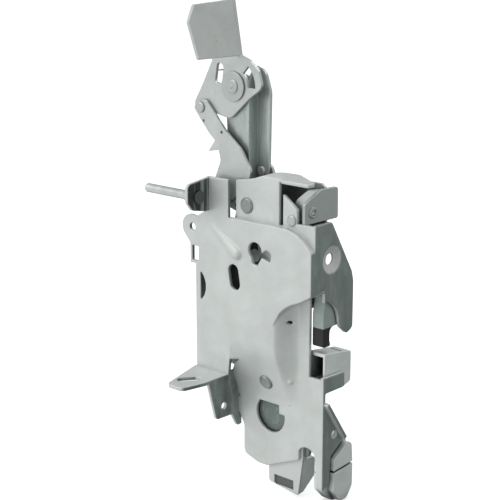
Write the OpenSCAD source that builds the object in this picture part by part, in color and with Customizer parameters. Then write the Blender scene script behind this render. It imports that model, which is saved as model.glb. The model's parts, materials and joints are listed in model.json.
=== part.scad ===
// Vehicle door latch: a folded case that carries a fork, its pawl, and the levers that release and lock it.
// X points out of the end plate towards the jamb, Y inboard (the way the mouth opens) and Z up.
// Shapes are drawn from the corner between the end plate and the front wall, and place() moves that
// corner so that the origin is the centre of the upper screw hole, at the bottom of its dimple.

/* [Case] */
// Thickness of the folded sheet
sheet = 2; // [1.6:0.1:2.2]
// Depth of the end plate, front to back
end_depth = 38.5; // [36:0.5:44]
// Set-back of the upper front panel
panel_set = 3.5; // [3:0.1:4]
// Set-back of the lower front wall
floor_set = 12.5; // [11:0.1:12.6]
// Distance from the front face to the back plate
back_set = 20; // [20:0.1:21]
// Width of the middle front wall
wall_width = 88.6; // [86:0.2:92]
// Height of the case above the corner
wall_top = 42; // [41:0.2:44]
// Depth of the flange that carries the stud
stud_flange_depth = 18; // [15:0.5:22]
// Reach of the rod flange at the lower left
rod_flange_reach = 35.5; // [32:0.5:40]
// Length of the tab that hangs from the rod flange
hang_tab_length = 26; // [22:0.5:30]

/* [Screws and stud] */
// Height of the upper screw above the corner
screw_z = 2; // [1.5:0.1:2.5]
// Distance of the upper screw from the front face
screw_y = 19; // [18.5:0.1:19.5]
// Radius of the screw hole
screw_r = 3.4; // [3:0.1:3.6]
// Radius of the dimple round the screw hole
dimple_r = 9; // [8:0.2:9.4]
// Depth of the dimple
dimple_depth = 2.2; // [2:0.1:2.4]
// Radius of the stud's rod
stud_r = 2.7; // [2.4:0.1:3.2]
// Length of the stud
stud_length = 40; // [30:1:50]
// Radius of the hole in the rod flange's tab
tab_hole_r = 2.2; // [1.8:0.1:2.6]
// Radius of the hole in the ear
ear_hole_r = 2.4; // [2:0.1:2.8]

/* [Fork and pawl] */
// Distance of the fork's pin from the front face
fork_y = 24; // [23.8:0.1:24.4]
// Height of the fork's pin
fork_z = -20; // [-20.4:0.1:-19.8]
// Radius of the fork's pin
fork_pin_r = 3.5; // [3:0.1:4]
// Thickness of the fork
fork_t = 7.8; // [6.5:0.1:8]
// Radius of the ratchet cam's teeth
cam_r = 13; // [12.6:0.1:13.2]
// Height of the striker's path through the mouth
striker_z = -44; // [-44.4:0.1:-43.6]
// Radius of the striker that the slot takes
striker_r = 5.2; // [4.8:0.1:5.3]
// Radius of the pawl's pin
pawl_pin_r = 2; // [1.6:0.1:2.2]

/* [Release levers] */
// Height of the release lever's pivot
crank_z = 94.6; // [92:0.2:98]
// Thickness of the release lever and its pad
crank_t = 2; // [1.6:0.1:2.2]
// Height of the push pad
pad_height = 31; // [26:0.5:36]
// Reach of the push pad towards the front
pad_reach = 37; // [30:0.5:42]
// Lean of the push pad
pad_lean = 10; // [6:0.5:12]
// Thickness of the crank link
link_t = 1.8; // [1.5:0.1:1.9]
// Thickness of the inner levers
lever_t = 2; // [1.6:0.1:2]
// Radius of the pivots of the levers
pivot_r = 3; // [2.5:0.1:3.2]
// Radius of the link pins
link_pin_r = 2; // [1.6:0.1:2.2]
// Radius of the hole in the pull flag
flag_hole_r = 1.6; // [1.3:0.1:2]

/* [Fits] */
// Radial clearance of every turning fit
fit = 0.06; // [0.03:0.01:0.1]
// Side gap between a moving plate and its neighbour
gap = 0.4; // [0.3:0.05:0.4]

/* [Hidden] */
$fn = 48;
e = 0.01;

zinc = [0.80, 0.83, 0.82];
bright = [0.86, 0.88, 0.87];
dull = [0.66, 0.69, 0.67];
dark = [0.45, 0.48, 0.47];
black = [0.05, 0.05, 0.05];

// Layers behind the front face, each a step further inboard
link_y = panel_set + sheet + 0.7;
lever_y = link_y + link_t + gap;
crank_y = lever_y;
bracket_y = crank_y + crank_t + gap;
blocker_y = back_set - 4.8;
lock_link_y = blocker_y - lever_t - gap;

// Centre of the screw hole along X, halfway through the wall at the bottom of the dimple
hole_wall = 1.4;
screw_x = -dimple_depth - hole_wall / 2;

// Centres of the pivots and pins, as [x, z] on the front wall or [y, z] on the end plate
crank_c = [-65.3, crank_z];
crank_pin_c = crank_c + [-24.2, -13.9];
lever_c = [-50.6, 28.2];
lever_pin_c = lever_c + [-23.4, 2.8];
remote_c = [-17, 24.5];
lock_c = [-39.4, -77.2];
lock_arm = [-12, 10];
blocker_c = [-54, -4];
fork_c = [fork_y, fork_z];
pawl_c = [7.2, -7];

// Slabs along X behind the end plate
fork_x = -sheet - gap - fork_t;
cam_t = 5;
cam_x = fork_x - cam_t;
bearing_x = cam_x - 0.6 - sheet;

// Outline helpers
function unit(v) = v / norm(v);
function arc(c, r, a0, a1, n = 8) = [for (i = [0:n]) let (a = a0 + (a1 - a0) * i / n) c + r * [cos(a), sin(a)]];
function turn(v, a) = [v.x * cos(a) - v.y * sin(a), v.x * sin(a) + v.y * cos(a)];
function fillet(p, q, s, r, n) =
    let (u = unit(p - q), v = unit(s - q), half = acos(max(-1, min(1, u * v))) / 2,
         c = q + unit(u + v) * r / sin(half), a0 = atan2((q + u * r / tan(half) - c).y, (q + u * r / tan(half) - c).x),
         a1 = atan2((q + v * r / tan(half) - c).y, (q + v * r / tan(half) - c).x),
         sweep = (a1 - a0 + 540) % 360 - 180)
    [for (i = [0:n]) c + r * [cos(a0 + sweep * i / n), sin(a0 + sweep * i / n)]];
// A closed outline whose corners [x, y, radius] are rounded as far as their two sides allow
function flat(v) = [v.x, v.y];
function rounded(pts, n = 4) = [for (i = [0:len(pts) - 1])
    let (p = flat(pts[(i + len(pts) - 1) % len(pts)]), q = flat(pts[i]), s = flat(pts[(i + 1) % len(pts)]),
         room = 0.47 * min(norm(p - q), norm(s - q)),
         r = len(pts[i]) < 3 ? 0 : min(pts[i][2], room * tan(acos(max(-1, min(1, unit(p - q) * unit(s - q)))) / 2)))
    each (r > 0 ? fillet(p, q, s, r, n) : [q])];

module place() translate([-screw_x, -screw_y, -screw_z]) children();
// A flat plate parallel to the front wall, drawn as [x, z], with its front face at y
module front_plate(y, t) translate([0, y + t, 0]) rotate([90, 0, 0]) linear_extrude(t) children();
// A flat plate parallel to the end plate, drawn as [y, z], with its inner face at x
module side_plate(x, t) translate([x, 0, 0]) rotate([90, 0, 90]) linear_extrude(t) children();
// A round bar along Y from y0 to y1, centred at c = [x, z]
module bar_y(c, r, y0, y1) translate([c.x, y1, c.y]) rotate([90, 0, 0]) cylinder(r = r, h = y1 - y0);
// A round bar along X from x0 to x1, centred at c = [y, z]
module bar_x(c, r, x0, x1) translate([x0, c.x, c.y]) rotate([0, 90, 0]) cylinder(r = r, h = x1 - x0);
// A low domed head whose flat side is at y, its crown towards the front
module head_y(c, r, h, y) translate([c.x, y, c.y]) rotate([90, 0, 0]) rotate_extrude()
    polygon([[0, 0], [r, 0], [r, h * 0.35], [r * 0.86, h * 0.8], [r * 0.6, h], [0, h]]);
// A coil that runs from the leg end p, round the axis, to the leg end q
function coil(r, pitch, turns, p, q) =
    let (a0 = atan2(p.y, p.x) + acos(r / norm(p)), a1 = atan2(q.y, q.x) - acos(r / norm(q)),
         sweep = ((a1 - a0) % 360 + 360) % 360 + 360 * turns, n = ceil(sweep / 22.5))
    [for (i = [0:n]) let (a = a0 + sweep * i / n) [r * cos(a), r * sin(a), pitch * sweep * i / n / 360]];
module wire(path, r, sides = 6) {
    n = len(path);
    dirs = [for (i = [0:n - 1]) unit(path[min(i + 1, n - 1)] - path[max(i - 1, 0)])];
    // Each ring's first spoke is the one before it, turned no more than the bend needs
    spokes = [for (i = 0, a = unit(cross(dirs[0], [0.3, 0.5, 0.8])); i < n;
                   i = i + 1, a = i < n ? unit(a - (a * dirs[i]) * dirs[i]) : a) a];
    rings = [for (i = [0:n - 1]) let (a = spokes[i], b = cross(dirs[i], a))
        each [for (k = [0:sides - 1]) path[i] + r * (a * cos(360 * k / sides) + b * sin(360 * k / sides))]];
    faces = concat([[for (k = [0:sides - 1]) k]],
        [for (i = [0:n - 2], k = [0:sides - 1])
            [i * sides + k, (i + 1) * sides + k, (i + 1) * sides + (k + 1) % sides, i * sides + (k + 1) % sides]],
        [[for (k = [sides - 1:-1:0]) (n - 1) * sides + k]]);
    polyhedron(rings, faces);
}

// A torsion spring of wire radius w; its legs end at p and q, bent along the axis by hook_p and hook_q
module torsion(r, w, turns, p, q, hook_p, hook_q) {
    loops = coil(r, 2.3 * w, turns, p, q);
    top = loops[len(loops) - 1].z;
    wire(concat([[p.x, p.y, hook_p]], [[p.x, p.y, 0]], loops, [[q.x, q.y, top]], [[q.x, q.y, top + hook_q]]), w);
}
// The same about an axis along Y from y, with p and q as [x, z] from the centre c
module torsion_y(c, y, r, w, turns, p, q, hook_p, hook_q) translate([c.x, y, c.y]) rotate([-90, 0, 0])
    torsion(r, w, turns, [p.x, -p.y], [q.x, -q.y], hook_p, hook_q);
// The same about an axis along X that runs inwards from x, with p and q as [y, z] from the centre c
module torsion_x(c, x, r, w, turns, p, q, hook_p, hook_q) translate([x, c.x, c.y]) rotate([0, -90, 0])
    torsion(r, w, turns, [p.y, p.x], [q.y, q.x], hook_p, hook_q);

// Levels of the front wall
step_corner = [-22, -7];
step_r = 27;
step_end = [0, step_corner.y + sqrt(step_r * step_r - step_corner.x * step_corner.x)];
step_angle = atan2(step_end.y - step_corner.y, step_end.x - step_corner.x);
step_z = step_corner.y + step_r;
slit_left = [-62.2, -59.1];
slit_right = [-26.4, -23.4];
rod_flange_z = -76;
ramp_x0 = -28;
ramp_x1 = -17.5;
ramp_skew = 0.6;
// The middle wall bends back to the lower wall between these heights, beside a relief slit
blend_top = -52;
blend_end = -94;
blend_ease = 0.2;
relief_x = -61.5;
relief_z = -66;
ridge = [[0, -16], [-7.6, -20.5], [-15, -23.6], [-19.3, -26.4], [-23, -30], [-25.4, -34], [ramp_x0, -39]];
function step_path(grow = 0) = concat([[slit_left[1], step_z + grow]],
    arc(step_corner, step_r + grow, 90, step_angle, 10));

function middle_outline() = rounded(concat(
    [[-79, wall_top], [slit_left[0], wall_top], [slit_left[0], step_z]],
    step_path(), ridge,
    [[ramp_x0, blend_top], [relief_x, blend_top], [relief_x, relief_z], [-62.8, rod_flange_z - sheet],
     [-wall_width, rod_flange_z - sheet],
     [-wall_width, -12], [-wall_width - 4.4, -12], [-wall_width - 4.4, 0]],
    arc([-92, 10], 7.5, 235, 60, 8), [[-79, 22]]));
function panel_outline() = concat(
    [[slit_left[1], step_z - e], [slit_left[1], wall_top], [-46, 44.5], [-39, 47], [slit_right[0] + 0.4, 47],
     [slit_right[0] + 0.4, 41], [slit_right[1], 38.5], [-13.3, 31.2], [-13.3, 23], [0, 23.4]],
    [for (i = [10:-1:0]) arc(step_corner, step_r - sheet, 90, step_angle, 10)[i]], [[slit_left[1], step_z - sheet]]);
floor_top = -14.2;
function floor_outline() = rounded(concat(
    [[0, floor_top], [0, -137, 1], [-4, -135, 1], [-5, -120]], arc([-12, -119.5], 7, 20, 150, 6),
    [[-18, -122], [-42.5, -132.5], [-50, -132.5, 3], [-61, -129, 4], [-61, -111, 4], [-67.6, -99, 4], [-69.2, -94.4, 1],
     [-65, blend_end], [ramp_x1 - ramp_skew, blend_end], [ramp_x1 - ramp_skew, floor_top]]));
mouth_x = fork_x - 0.6;
mouth_z0 = -68.5;
mouth_z1 = -17.5;

// The set-back and its ramp, as [x, y] seen from above, where the middle wall lies at y0
function ramp(y0 = 0, n = 6) = [for (i = [0:n]) let (t = i / n)
    [ramp_x0 + (ramp_x1 - ramp_x0) * t, y0 + (floor_set - y0) * (3 - 2 * t) * t * t]];
module under_ridge() polygon(concat(ridge, [[ramp_x0 - 2, -40], [ramp_x0 - 2, blend_top], [0, blend_top]]));
module ridge_band() polygon(concat(ridge, [for (i = [len(ridge) - 1:-1:0]) ridge[i] + [-0.9, 1.8]]));

// How far back the sloping wall lies at height z: a straight slope with both ends eased
blend_slope = floor_set / (1 - blend_ease) / (blend_top - blend_end);
function eased_step(t) = t < 0 ? 0 : t < blend_ease ? t * t / 2 / blend_ease / (1 - blend_ease)
    : t < 1 - blend_ease ? (t - blend_ease / 2) / (1 - blend_ease) : 1 - (1 - t) * (1 - t) / 2 / blend_ease / (1 - blend_ease);
function blend_y(z) = floor_set * eased_step((blend_top - z) / (blend_top - blend_end));
// A bent sheet through rows of points, given from the top down and from left to right
module bent_sheet(rows, t) {
    m = len(rows);
    n = len(rows[0]);
    back = m * n;
    function at(i, j) = i * n + j;
    points = [for (shift = [[0, 0, 0], t], row = rows, p = row) p + shift];
    cells = [for (i = [0:m - 2], j = [0:n - 2]) [at(i, j), at(i, j + 1), at(i + 1, j + 1), at(i + 1, j)]];
    rim = concat([for (j = [0:n - 2]) [at(0, j), at(0, j + 1)]], [for (j = [0:n - 2]) [at(m - 1, j + 1), at(m - 1, j)]],
        [for (i = [0:m - 2]) [at(i + 1, 0), at(i, 0)]], [for (i = [0:m - 2]) [at(i, n - 1), at(i + 1, n - 1)]]);
    polyhedron(points, concat(
        [for (c = cells) each [[c[0], c[1], c[2]], [c[0], c[2], c[3]]]],
        [for (c = cells) each [[c[0] + back, c[2] + back, c[1] + back], [c[0] + back, c[3] + back, c[2] + back]]],
        [for (r = rim) [r[1], r[0], r[0] + back, r[1] + back]]));
}
// Left edge of the sloping wall, as [z, x], and its rows; the first row is tucked into the flat wall
blend_edge = [[-56, -57], [-60.4, -57], [relief_z, -57], [-70, -62], [-75, -65.4], [-80, -67.6], [-85.6, -67.8],
    [-90, -65.4], [blend_end, -64]];
function blend_row(z, x, tuck = 0) = [for (p = concat([[x, blend_y(z)], [-45, blend_y(z)]], ramp(blend_y(z)))) [p.x, p.y + tuck, z]];
module sloping_wall() {
    bent_sheet(concat([blend_row(blend_top + 1, -57, 0.5), blend_row(blend_top, -57)],
        [for (c = blend_edge) blend_row(c[0], c[1])]), [-ramp_skew, sheet, 0]);
    bent_sheet([for (z = [blend_top + 1, blend_top, -56, -60.4, relief_z]) let (tuck = z > blend_top ? 0.5 : 0)
        [[relief_x - 1, 0.5, z], [relief_x, tuck, z], [-57, blend_y(z) + tuck, z], [-56, blend_y(z) + 0.6, z]]],
        [-ramp_skew, sheet, 0]);
}

module wall_middle() difference() {
    front_plate(0, sheet) polygon(middle_outline());
    bar_y([-91, 10], ear_hole_r, -1, sheet + 1);
    translate([-91.4, -1, -10.4]) cube([5.2, sheet + 2, 9.2]);
    translate([0, -1, 0]) front_plate(0, sheet + 2) polygon(concat(
        arc([-92, -25], 11.6, -48, 48, 8), [for (a = [40:-20:-40]) [-85.6 + 0.8 * cos(a), -25 + 9 * sin(a) / sin(48)]]));
    translate([-57.6, 0, -15]) rotate([0, -10, 0]) translate([57.6, 0, 15]) {
        bar_y([-57.6, -11.2], 4, -1, sheet + 1);
        bar_y([-57.6, -18.8], 4, -1, sheet + 1);
        translate([-61.6, -1, -18.8]) cube([8, sheet + 2, 7.6]);
    }
    bar_y([-41.5, 3.5], 5.2, -1, sheet + 1);
    front_plate(-1, sheet + 2) polygon(rounded(
        [[-46, 4], [-43.5, -4.5, 1.5], [-39.5, -5, 1.5], [-36.5, 0], [-30, -1.5, 1], [-28.6, 4, 2], [-33, 5.5], [-38, 2]]));
}
// The bead grows towards its lower end
bead_from = [-74.5, 12.4];
bead_to = [-55.5, -0.4];
bead_r = [2.1, 4.2];
bead_y = 1.4;
module bead_form(less, y) {
    d = bead_to - bead_from;
    translate([bead_from.x, y, bead_from.y]) rotate([0, 90 - atan2(d.y, d.x), 0]) rotate_extrude()
        polygon(concat(arc([0, 0], bead_r[0] - less, -90, 0, 5), arc([0, norm(d)], bead_r[1] - less, 0, 90, 5)));
}
module bead() intersection() {
    bead_form(0, bead_y);
    translate([-100, -4, -20]) cube([60, 5, 50]);
}
module step_wall() front_plate(0, panel_set + sheet) polygon(concat(
    step_path(), [for (i = [10:-1:0]) arc(step_corner, step_r - sheet, 90, step_angle, 10)[i]],
    [[slit_left[1], step_z - sheet]]));
module wall_panel() difference() {
    front_plate(panel_set, sheet) polygon(panel_outline());
    translate([slit_right[0], 0, step_z + 0.5]) cube([slit_right[1] - slit_right[0], 20, 30]);
}
module wall_floor() difference() {
    union() {
        intersection() {
            translate([0, 0, blend_top]) linear_extrude(-blend_top) polygon(concat(
                ramp(), [[0, floor_set], [0, floor_set + sheet]], [for (i = [6:-1:0]) ramp()[i] + [-ramp_skew, sheet]]));
            translate([0, 30, 0]) rotate([90, 0, 0]) linear_extrude(40) under_ridge();
        }
        intersection() {
            translate([0, 0, -60]) linear_extrude(60)
                polygon(concat([[ramp_x0, 0]], [for (p = ramp()) p + [-0.3, 1.2]], [[0, floor_set + sheet], [0, 0]]));
            translate([0, 30, 0]) rotate([90, 0, 0]) linear_extrude(40) ridge_band();
        }
        front_plate(floor_set, sheet) polygon(floor_outline());
        sloping_wall();
        for (c = pip_cs) translate(c) sphere(1.6, $fn = 16);
    }
    translate([mouth_x, 0, mouth_z0]) cube([-mouth_x - sheet, floor_set + 10, mouth_z1 - mouth_z0]);
    translate([-sheet - 1, 0, mouth_z0]) cube([sheet + 2, floor_set + 10, -22 - mouth_z0]);
    bar_y(ramp_hole_c, 1.2, 0, floor_set + sheet + 1);
    difference() {
        bar_y([-40, -99], 11.2, floor_set - 2, floor_set + sheet + 1);
        translate([-60, 0, -91.5]) cube([40, 30, 8]);
        translate([-33.2, 0, -97]) cube([12, 30, 12]);
    }
}
// Two pressed pips and a small hole on the ramp
pip_cs = [[-22.9, 10.2, -73.6], [-25.2, 13, -88.8]];
ramp_hole_c = [-22, -37];
module end_plate() difference() {
    union() {
        side_plate(-sheet, sheet) polygon(rounded(concat(
            [[panel_set, step_end.y], [panel_set, 23.4], [5, 24, 2], [18, 24, 3], [37, -8, 6], [end_depth, -14, 4],
             [end_depth, -42, 3], [33, -44.5, 2], [27, -39.5, 3]],
            arc([11.5, -35.5], 14, 0, 80, 7),
            [[floor_set, -21.5], [floor_set, -14], [0, -16], [0, step_end.y]])));
        side_plate(-sheet, sheet) polygon(rounded(
            [[floor_set, -136], [floor_set, -67], [31.5, -67.6, 1], [32, -76.4, 1], [14.5, -76.4, 1.2], [14.5, -82, 1],
             [31.5, -106, 3], [31.5, -109.5, 2], [20, -117, 2], [19.4, -134, 2]]));
        translate([-sheet, 0, 0]) intersection() {
            rotate([90, 0, 90]) linear_extrude(5) polygon([[14.5, -82], [31.5, -107], [29.8, -108.2], [12.8, -83.2]]);
            translate([0, 12.5, -112]) cube([6, 30, 30]);
        }
    }
    bar_x([screw_y, screw_z], dimple_r, -sheet - 3, 1);
    bar_x([23, -104], 2.6, -sheet - 3, 1);
}
// The cone that is pressed inwards round the screw hole
module dimple() translate([0, screw_y, screw_z]) rotate([0, 90, 0]) rotate_extrude()
    polygon([[screw_r, -dimple_depth - hole_wall], [screw_r + 1.6, -dimple_depth - hole_wall], [dimple_r + 0.6, -sheet],
             [dimple_r + 0.6, 0], [dimple_r, 0], [screw_r + 1.2, -dimple_depth], [screw_r, -dimple_depth]]);
module side_wall() translate([-wall_width, 0, rod_flange_z - sheet]) cube([sheet, back_set, -12 - rod_flange_z + sheet]);
module stud_flange() side_plate(-79, sheet) polygon(rounded(
    [[sheet, 22], [sheet, wall_top], [-stud_flange_depth, 39.5, 3], [-stud_flange_depth, 29, 3], [-14, 24, 3], [-4, 22, 2]]));
stud_c = [-9, 31.2];
module rod_flange() difference() {
    translate([0, 0, rod_flange_z - sheet]) linear_extrude(sheet) polygon(rounded(
        [[-62.8, sheet], [-wall_width, sheet], [-wall_width, -2, 3], [-78.5, -rod_flange_reach, 4],
         [-66, -rod_flange_reach, 4], [-62.8, -20, 3]]));
    translate([-74.5, -21.5, rod_flange_z]) rotate([0, 0, 54]) {
        translate([4, 0, -4]) cylinder(r = 3, h = 8);
        translate([-4, 0, -4]) cylinder(r = 3, h = 8);
        translate([-4, -3, -4]) cube([8, 6, 8]);
    }
}
module hang_tab() difference() {
    side_plate(-64.8, sheet) polygon(rounded([[-16.5, rod_flange_z - sheet], [sheet, rod_flange_z - sheet],
        [5.8, rod_flange_z - hang_tab_length - 0.5, 2], [-10, rod_flange_z - hang_tab_length, 2]]));
    bar_x([-3.6, rod_flange_z - 19], tab_hole_r, -70, -60);
}
// The flange along the left edge of the sloping wall, behind the hanging tab
module side_tab() side_plate(-67.2, sheet) polygon(rounded(concat(
    [for (z = [-76, -80, -85.6]) [blend_y(z) + 1.2, z]],
    [[floor_set + sheet, blend_end], [floor_set + sheet, -112], [11, -112.4, 1.5], [5.4, -102.6, 1.5], [6, -97, 1],
     [3, -88], [3, -76, 1]])));
module top_flange() translate([0, 0, 47 - sheet]) linear_extrude(sheet) polygon(rounded(
    [[-39, panel_set], [-40, 20, 6], [-25, 20, 5], [-3.5, 7, 2], [-3.5, 1.5, 1], [slit_right[1], 1.5, 0.5],
     [slit_right[1], panel_set]]));

module frame() color(zinc) place() {
    difference() {
        union() {
            wall_middle();
            wall_panel();
            step_wall();
            wall_floor();
            end_plate();
            dimple();
            side_wall();
            stud_flange();
            rod_flange();
            hang_tab();
            side_tab();
            top_flange();
            bead();
        }
        bar_y(lever_c, pivot_r, -1, panel_set + sheet + 1);
        bar_y(remote_c, pivot_r - 0.8, -1, panel_set + sheet + 1);
        bar_y(lock_c, pivot_r, -1, floor_set + sheet);
        bar_x(stud_c, stud_r, -82, -70);
        bead_form(0.8, bead_y + 0.8);
    }
}

module back_plate() color(dull) place() difference() {
    front_plate(back_set, sheet) polygon(rounded(
        [[-wall_width, rod_flange_z, 2], [-wall_width, -14, 3], [-77, 8, 6], [-70, 36, 6], [-60, 50, 3], [-47, 50, 3],
         [-44.5, 44, 2], [-6.5, 44, 4], [-6.5, 9, 3], [-32, 6, 3], [-43, -2, 3], [-43, -36, 3], [-22, -40, 3],
         [-22, -80, 4], [-40, -86, 4], [-66, -80, 4]]));
    for (c = post_cs) bar_y(c, 2, back_set - 1, back_set + sheet + 1);
    for (c = bracket_rivet_cs) bar_y(c, 2, back_set - 1, back_set + sheet + 1);
    bar_y(lever_c, 2, back_set - 1, back_set + sheet + 1);
    bar_y(lock_c, 2, back_set - 1, back_set + sheet + 1);
    bar_y(blocker_c, 2, back_set - 1, back_set + sheet + 1);
    bar_y([-66, -40], 8, back_set - 1, back_set + sheet + 1);
}
post_cs = [[8.6 - wall_width, -66], [8.6 - wall_width, -14], [-68, -60]];
module spacer_posts() color(bright) place() for (c = post_cs) {
    bar_y(c, 3.5, sheet, back_set);
    bar_y(c, 2, back_set - e, back_set + sheet + 0.2);
}
module back_rivets() color(bright) place() for (c = post_cs)
    translate([c.x, back_set + sheet + 0.2, c.y]) mirror([0, 1, 0]) translate([-c.x, 0, -c.y]) head_y(c, 3.6, 1.4, 0);

module stud() color(bright) place() {
    bar_x(stud_c, stud_r, -79 - stud_length, -79 + sheet);
    translate([-79, stud_c.x, stud_c.y]) rotate([0, -90, 0]) cylinder(r1 = 6.2, r2 = stud_r, h = 9);
    translate([-79 - stud_length, stud_c.x, stud_c.y]) rotate([0, -90, 0]) cylinder(r1 = stud_r, r2 = stud_r - 0.8, h = 0.8);
    bar_x(stud_c, 4, -79 + sheet, -79 + sheet + 1.2);
}

// Joggled bracket: its left half lies just behind the release lever, its right half on the back plate
bracket_fold_x = -57.6;
module upper_bracket() color(zinc) place() difference() {
    union() {
        front_plate(bracket_y, sheet) polygon(rounded(concat(
            [[bracket_fold_x + sheet, 36], [bracket_fold_x + sheet, 98]],
            arc(crank_c, 8.8, 35, 190, 10), [[-72.6, 70], [-72, 50, 6], [-63, 36, 3]])));
        side_plate(bracket_fold_x, sheet) polygon(
            [[bracket_y, 36], [back_set, 36], [back_set, 106], [back_set - sheet, 106], [bracket_y, 98]]);
        front_plate(back_set - sheet, sheet) polygon(rounded(
            [[bracket_fold_x, 36], [-47.2, 36, 2], [-46, 92, 8], [-50, 104, 6], [bracket_fold_x, 106]]));
    }
    bar_y(crank_c, pivot_r, bracket_y - 1, back_set + 1);
    for (c = bracket_rivet_cs) bar_y(c, 2, back_set - sheet - 1, back_set + 1);
}
bracket_rivet_cs = [[-52.4, 40], [-52.4, 46]];
module bracket_rivets() color(bright) place() for (c = bracket_rivet_cs) {
    bar_y(c, 2, back_set - sheet, back_set + sheet);
    head_y(c, 3, 1.2, back_set - sheet);
}

module crank_pivot() color(bright) place() {
    bar_y(crank_c, pivot_r, crank_y - 1.2, bracket_y + sheet + 0.2);
    head_y(crank_c, 4.2, 0.9, crank_y - 1.2);
    head_y(crank_c, 1.1, 0.5, crank_y - 2);
    bar_y(crank_c, 5, bracket_y + sheet, bracket_y + sheet + 1.4);
}
module pivot_washer() color(bright) place() difference() {
    bar_y(crank_c, 8.5, crank_y - 1.2, crank_y - 0.2);
    bar_y(crank_c, pivot_r, crank_y - 2, crank_y);
}

// Release lever: a plate with an upper arm whose right edge is folded towards the front as the push pad
pad_foot = [-60.2, crank_z + 18.1];
module bell_crank() color(zinc) place() difference() {
    lean = pad_height * tan(pad_lean);
    fold_top = pad_foot + [-lean, pad_height];
    union() {
        front_plate(crank_y, crank_t) polygon(rounded(
            [[-98.2, 80, 3], [-89.4, 94.5, 14], [-82, 108.3, 4], [-79 - lean * 0.5, 136, 5],
             [fold_top.x - 6, fold_top.y, 3], fold_top, pad_foot, [-52.6, 110, 2], [-46.6, 105, 4], [-43.6, 95.6, 4],
             [-54.9, 87.4, 14], [-68.1, 75.6, 6], [-80, 78, 10]]));
        translate([pad_foot.x, 0, pad_foot.y]) rotate([0, -pad_lean, 0]) side_plate(-crank_t, crank_t) polygon(rounded(
            [[crank_y + crank_t, -0.4], [crank_y + crank_t, pad_height / cos(pad_lean)],
             [crank_y + 6 - pad_reach, pad_height / cos(pad_lean) - 1.5, 1.5], [crank_y - pad_reach, pad_height - 10, 2],
             [crank_y + 4 - pad_reach, 0, 1.5]]));
    }
    bar_y(crank_c, pivot_r + fit, crank_y - 1, crank_y + crank_t + 1);
    bar_y(crank_pin_c, link_pin_r, crank_y - 1, crank_y + crank_t + 1);
    front_plate(crank_y - 1, crank_t + 2) polygon(rounded([[-80, 96, 2], [-74.6, 94.8, 2], [-72.8, 106.4, 2.4], [-78, 107.6, 2]]));
    front_plate(crank_y - 1, crank_t + 2) polygon(concat(arc(crank_c, 16.5, 0, 48, 6), arc(crank_c, 10.5, 48, 0, 6)));
}
module crank_link() color(zinc) place() difference() {
    union() {
        front_plate(link_y, link_t) polygon(rounded(
            [[-95.6, 81, 2], [-90, 74.2, 6], [-82.8, 66.2, 5], [-76.5, 61, 5], [-73.6, 51.4, 5], [-80, 36, 6], [-79, 25.5, 5], [-70, 25, 5],
             [-53, 38, 6], [-50.1, 47.8, 4], [-57.7, 59.3, 10], [-69.6, 68.5, 10], [-81.2, 81, 3], [-86, 86, 3]]));
        front_plate(link_y, link_t) polygon([[-77, 64], [-83.4, 55.4], [-76, 57], [-73, 60]]);
    }
    bar_y(crank_pin_c, link_pin_r + fit, link_y - 1, link_y + link_t + 1);
    bar_y(lever_pin_c, link_pin_r + 1, link_y - 1, link_y + link_t + 1);
    bar_y([-87, 72.9], 0.9, link_y - 1, link_y + link_t + 1);
    bar_y([-72.8, 67.6], 0.9, link_y - 1, link_y + link_t + 1);
}
module upper_link_pin() color(bright) place() {
    bar_y(crank_pin_c, link_pin_r, link_y - 0.4, crank_y + crank_t);
    head_y(crank_pin_c, link_pin_r + 1.2, 0.9, link_y - 0.3);
    bar_y(crank_pin_c, link_pin_r + 1, crank_y + crank_t, crank_y + crank_t + 0.8);
}
module lower_link_pin() color(bright) place() {
    bar_y(lever_pin_c, link_pin_r, link_y - 0.3, lever_y + lever_t + 0.6);
    bar_y(lever_pin_c, link_pin_r + 1.6, link_y - 0.55, link_y - 0.25);
    bar_y(lever_pin_c, link_pin_r + 1, lever_y + lever_t, lever_y + lever_t + 0.8);
}
module crank_spring() color(bright) place()
    torsion_y(crank_c, bracket_y + sheet + 1.9, 6, 0.5, 3, [-11.8, 8.4], [7.1, -9.6], -7.2, 2);

foot_c = [-38.6, -9];
foot_z = -9.4;
module lift_lever() color(zinc) place() difference() {
    union() {
        front_plate(lever_y, lever_t) polygon(rounded(concat(arc(lever_pin_c, 5.5, 80, 260, 8),
            [[-58, 20.6, 6], [-50, 16, 6], [-42.5, foot_z - 2, 1], [-34, foot_z - 2, 1], [-33.5, foot_z + 3, 0.5],
             [-36.5, 6, 4], [-42, 20, 8]],
            arc(lever_c, 7.5, -10, 80, 6))));
        translate([-42.4, lever_y, foot_z - 2]) cube([8.4, back_set - gap - 0.6 - lever_y, 2]);
    }
    bar_y(lever_c, pivot_r + fit, lever_y - 1, lever_y + lever_t + 1);
    bar_y(lever_pin_c, link_pin_r, lever_y - 1, lever_y + lever_t + 1);
    bar_y([-64, 25.5], 1, lever_y - 1, lever_y + lever_t + 1);
}
module lever_pivot() color(dull) place() {
    bar_y(lever_c, pivot_r, panel_set, lever_y + lever_t + gap);
    head_y(lever_c, 4.6, 1.5, panel_set);
    bar_y(lever_c, 4.2, panel_set + sheet, lever_y - 0.3);
    bar_y(lever_c, 4.2, lever_y + lever_t + 0.3, back_set);
    bar_y(lever_c, 2, back_set - e, back_set + sheet + 0.8);
}
module lever_spring() color(bright) place()
    torsion_y(lever_c, lever_y + lever_t + 1, 5, 0.4, 2, [-10, -8.2], [4.2, 9.5], -3.4, 5.6);

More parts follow.
